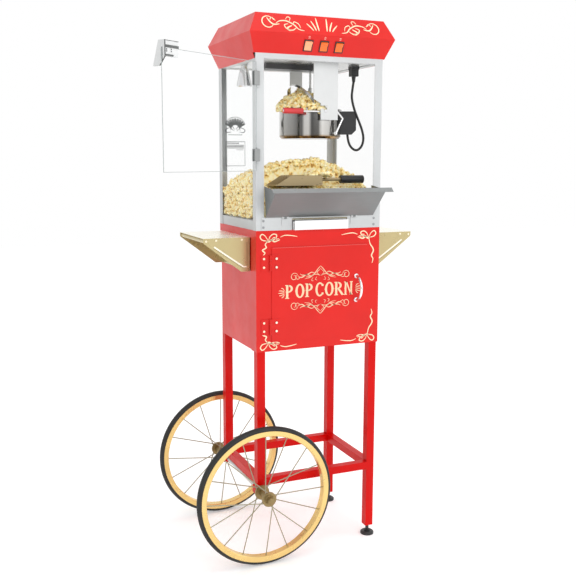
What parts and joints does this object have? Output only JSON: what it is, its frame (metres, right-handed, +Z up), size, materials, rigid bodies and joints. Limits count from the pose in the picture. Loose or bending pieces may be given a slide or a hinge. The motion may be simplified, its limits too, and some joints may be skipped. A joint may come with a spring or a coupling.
{
  "type": "popcorn cart",
  "caption": "Glazed popcorn machine with tilting kettle on a red cabinet cart with two spoked wheels, side shelves, push bars and levelling feet.",
  "frame": {"origin": "on the floor under the middle of the cabinet's footprint", "axes": "+X to the right along the front, +Y from front to back, +Z up"},
  "size_m": [0.8424, 0.6032, 1.53],
  "materials": {
    "red_paint_legs": "smooth gloss red enamel",
    "zinc": "zinc-plated",
    "dull_brass": "antique brass plating",
    "red_paint": "smooth gloss red enamel",
    "gold_leaf": "brushed gold plating",
    "silver_paint": "satin silver-white paint",
    "stainless": "brushed stainless steel",
    "clear_glass": "clear tempered",
    "black_plastic": "satin",
    "dark_steel": "dark grey enamel",
    "white_enamel": "gloss white",
    "bright_steel": "polished",
    "lamp_glass": "pearl lamp glass",
    "tyre_black": "solid rubber",
    "gold_rim": "glossy gold",
    "kettle_steel": "polished stainless",
    "red_grip": "moulded plastic",
    "lead_black": "cable sheath",
    "orange_rocker": "translucent orange"
  },
  "bodies": {
    "cart": {"legs": "red_paint_legs", "stretchers": "red_paint_legs", "axle": "zinc", "axle_nuts_and_spacers": "dull_brass", "cabinet_shell": "red_paint", "cabinet_deck": "red_paint", "cabinet_face_frame": "red_paint", "cabinet_hinge_frame_leaves": "red_paint", "side_shelf_left": "gold_leaf", "side_shelf_right": "gold_leaf", "push_bars": "gold_leaf", "corner_posts": "silver_paint", "base_panels": "silver_paint", "popcorn_floor": "stainless", "top_rails": "silver_paint", "fixed_glass": "clear_glass", "ceiling_panel": "stainless", "hood": "red_paint", "switch_bezels": "black_plastic", "gearmotor": "dark_steel", "kettle_arms": "white_enamel", "power_sockets": "black_plastic", "lamp_shade": "bright_steel", "lamp_bulb": "lamp_glass", "glass_door_pivots": "silver_paint", "apron_hinges": "silver_paint", "screw_heads": "zinc", "lead_plug": "black_plastic"},
    "front_foot": {"front_foot": "zinc"},
    "rear_foot": {"rear_foot": "zinc"},
    "front_wheel": {"front_wheel_tyre": "tyre_black", "front_wheel_rim": "gold_rim", "front_wheel_spokes": "bright_steel", "front_wheel_hub": "dull_brass"},
    "rear_wheel": {"rear_wheel_tyre": "tyre_black", "rear_wheel_rim": "gold_rim", "rear_wheel_spokes": "bright_steel", "rear_wheel_hub": "dull_brass"},
    "cabinet_door": {"cabinet_door": "red_paint", "cabinet_hinge_door_leaves": "red_paint", "cabinet_door_pull": "bright_steel"},
    "glass_door": {"glass_door": "clear_glass", "glass_door_clamps": "silver_paint", "glass_door_latch": "silver_paint"},
    "apron": {"apron": "stainless"},
    "drawer": {"drawer": "silver_paint"},
    "kettle": {"kettle_pot": "kettle_steel", "kettle_lid_half": "kettle_steel", "tilt_handle": "bright_steel", "handle_grip": "red_grip", "terminal_box": "black_plastic", "kettle_lead": "lead_black"},
    "lid_flap": {"lid_flap": "kettle_steel"},
    "stirrer": {"stirrer": "stainless"},
    "drive_shaft": {"drive_shaft": "stainless"},
    "kettle_rocker": {"kettle_rocker": "orange_rocker"},
    "stirrer_rocker": {"stirrer_rocker": "orange_rocker"},
    "lamp_rocker": {"lamp_rocker": "orange_rocker"},
    "scoop": {"scoop_blade": "stainless", "scoop_handle": "black_plastic"}
  },
  "joints": [
    {"name": "front_wheel_spin", "type": "hinge", "parent": "cart", "child": "front_wheel", "pos_m": [-0.184, -0.199, 0.203], "axis": [0, 1, 0], "continuous": true},
    {"name": "rear_wheel_spin", "type": "hinge", "parent": "cart", "child": "rear_wheel", "pos_m": [-0.184, 0.199, 0.203], "axis": [0, 1, 0], "continuous": true},
    {"name": "front_foot_screw", "type": "slide", "parent": "cart", "child": "front_foot", "axis": [0, 0, 1], "range_m": [-0.012, 0]},
    {"name": "rear_foot_screw", "type": "slide", "parent": "cart", "child": "rear_foot", "axis": [0, 0, 1], "range_m": [-0.012, 0]},
    {"name": "cabinet_door_swing", "type": "hinge", "parent": "cart", "child": "cabinet_door", "pos_m": [-0.152, -0.1578, 0.77], "axis": [0, 0, -1], "range_deg": [0, 115]},
    {"name": "glass_door_swing", "type": "hinge", "parent": "cart", "child": "glass_door", "pos_m": [-0.189, -0.162, 1.26], "axis": [0, 0, -1], "range_deg": [-149, 25]},
    {"name": "apron_tilt", "type": "hinge", "parent": "cart", "child": "apron", "pos_m": [0, -0.1588, 0.986], "axis": [1, 0, 0], "range_deg": [-45, 0]},
    {"name": "drawer_slide", "type": "slide", "parent": "cart", "child": "drawer", "axis": [0, -1, 0], "range_m": [0, 0.15]},
    {"name": "kettle_tilt", "type": "hinge", "parent": "cart", "child": "kettle", "pos_m": [0.029, -0.02, 1.281], "axis": [0, -1, 0], "range_deg": [0, 65], "deforming": ["kettle_lead"]},
    {"name": "lid_flap_hinge", "type": "hinge", "parent": "kettle", "child": "lid_flap", "pos_m": [0.017, -0.02, 1.296], "axis": [0, 1, 0], "range_deg": [-56, 14]},
    {"name": "drive_spin", "type": "hinge", "parent": "cart", "child": "drive_shaft", "pos_m": [0.029, -0.02, 1.36], "axis": [0, 0, 1], "continuous": true},
    {"name": "stirrer_spin", "type": "hinge", "parent": "kettle", "child": "stirrer", "pos_m": [0.029, -0.02, 1.28], "axis": [0, 0, 1], "continuous": true},
    {"name": "kettle_rocker_tilt", "type": "hinge", "parent": "cart", "child": "kettle_rocker", "pos_m": [-0.045, -0.16193, 1.45173], "axis": [1, 0, 0], "range_deg": [-14, 0]},
    {"name": "stirrer_rocker_tilt", "type": "hinge", "parent": "cart", "child": "stirrer_rocker", "pos_m": [0.002, -0.16193, 1.45173], "axis": [1, 0, 0], "range_deg": [-14, 0]},
    {"name": "lamp_rocker_tilt", "type": "hinge", "parent": "cart", "child": "lamp_rocker", "pos_m": [0.048, -0.16193, 1.45173], "axis": [1, 0, 0], "range_deg": [-14, 0]},
    {"name": "scoop_lift", "type": "slide", "parent": "cart", "child": "scoop", "axis": [0, -0.9578, 0.2873], "range_m": [0, 0.35]}
  ],
  "couplings": [
    {"joint": "stirrer_spin", "follows": "drive_spin", "ratio": 1}
  ]
}
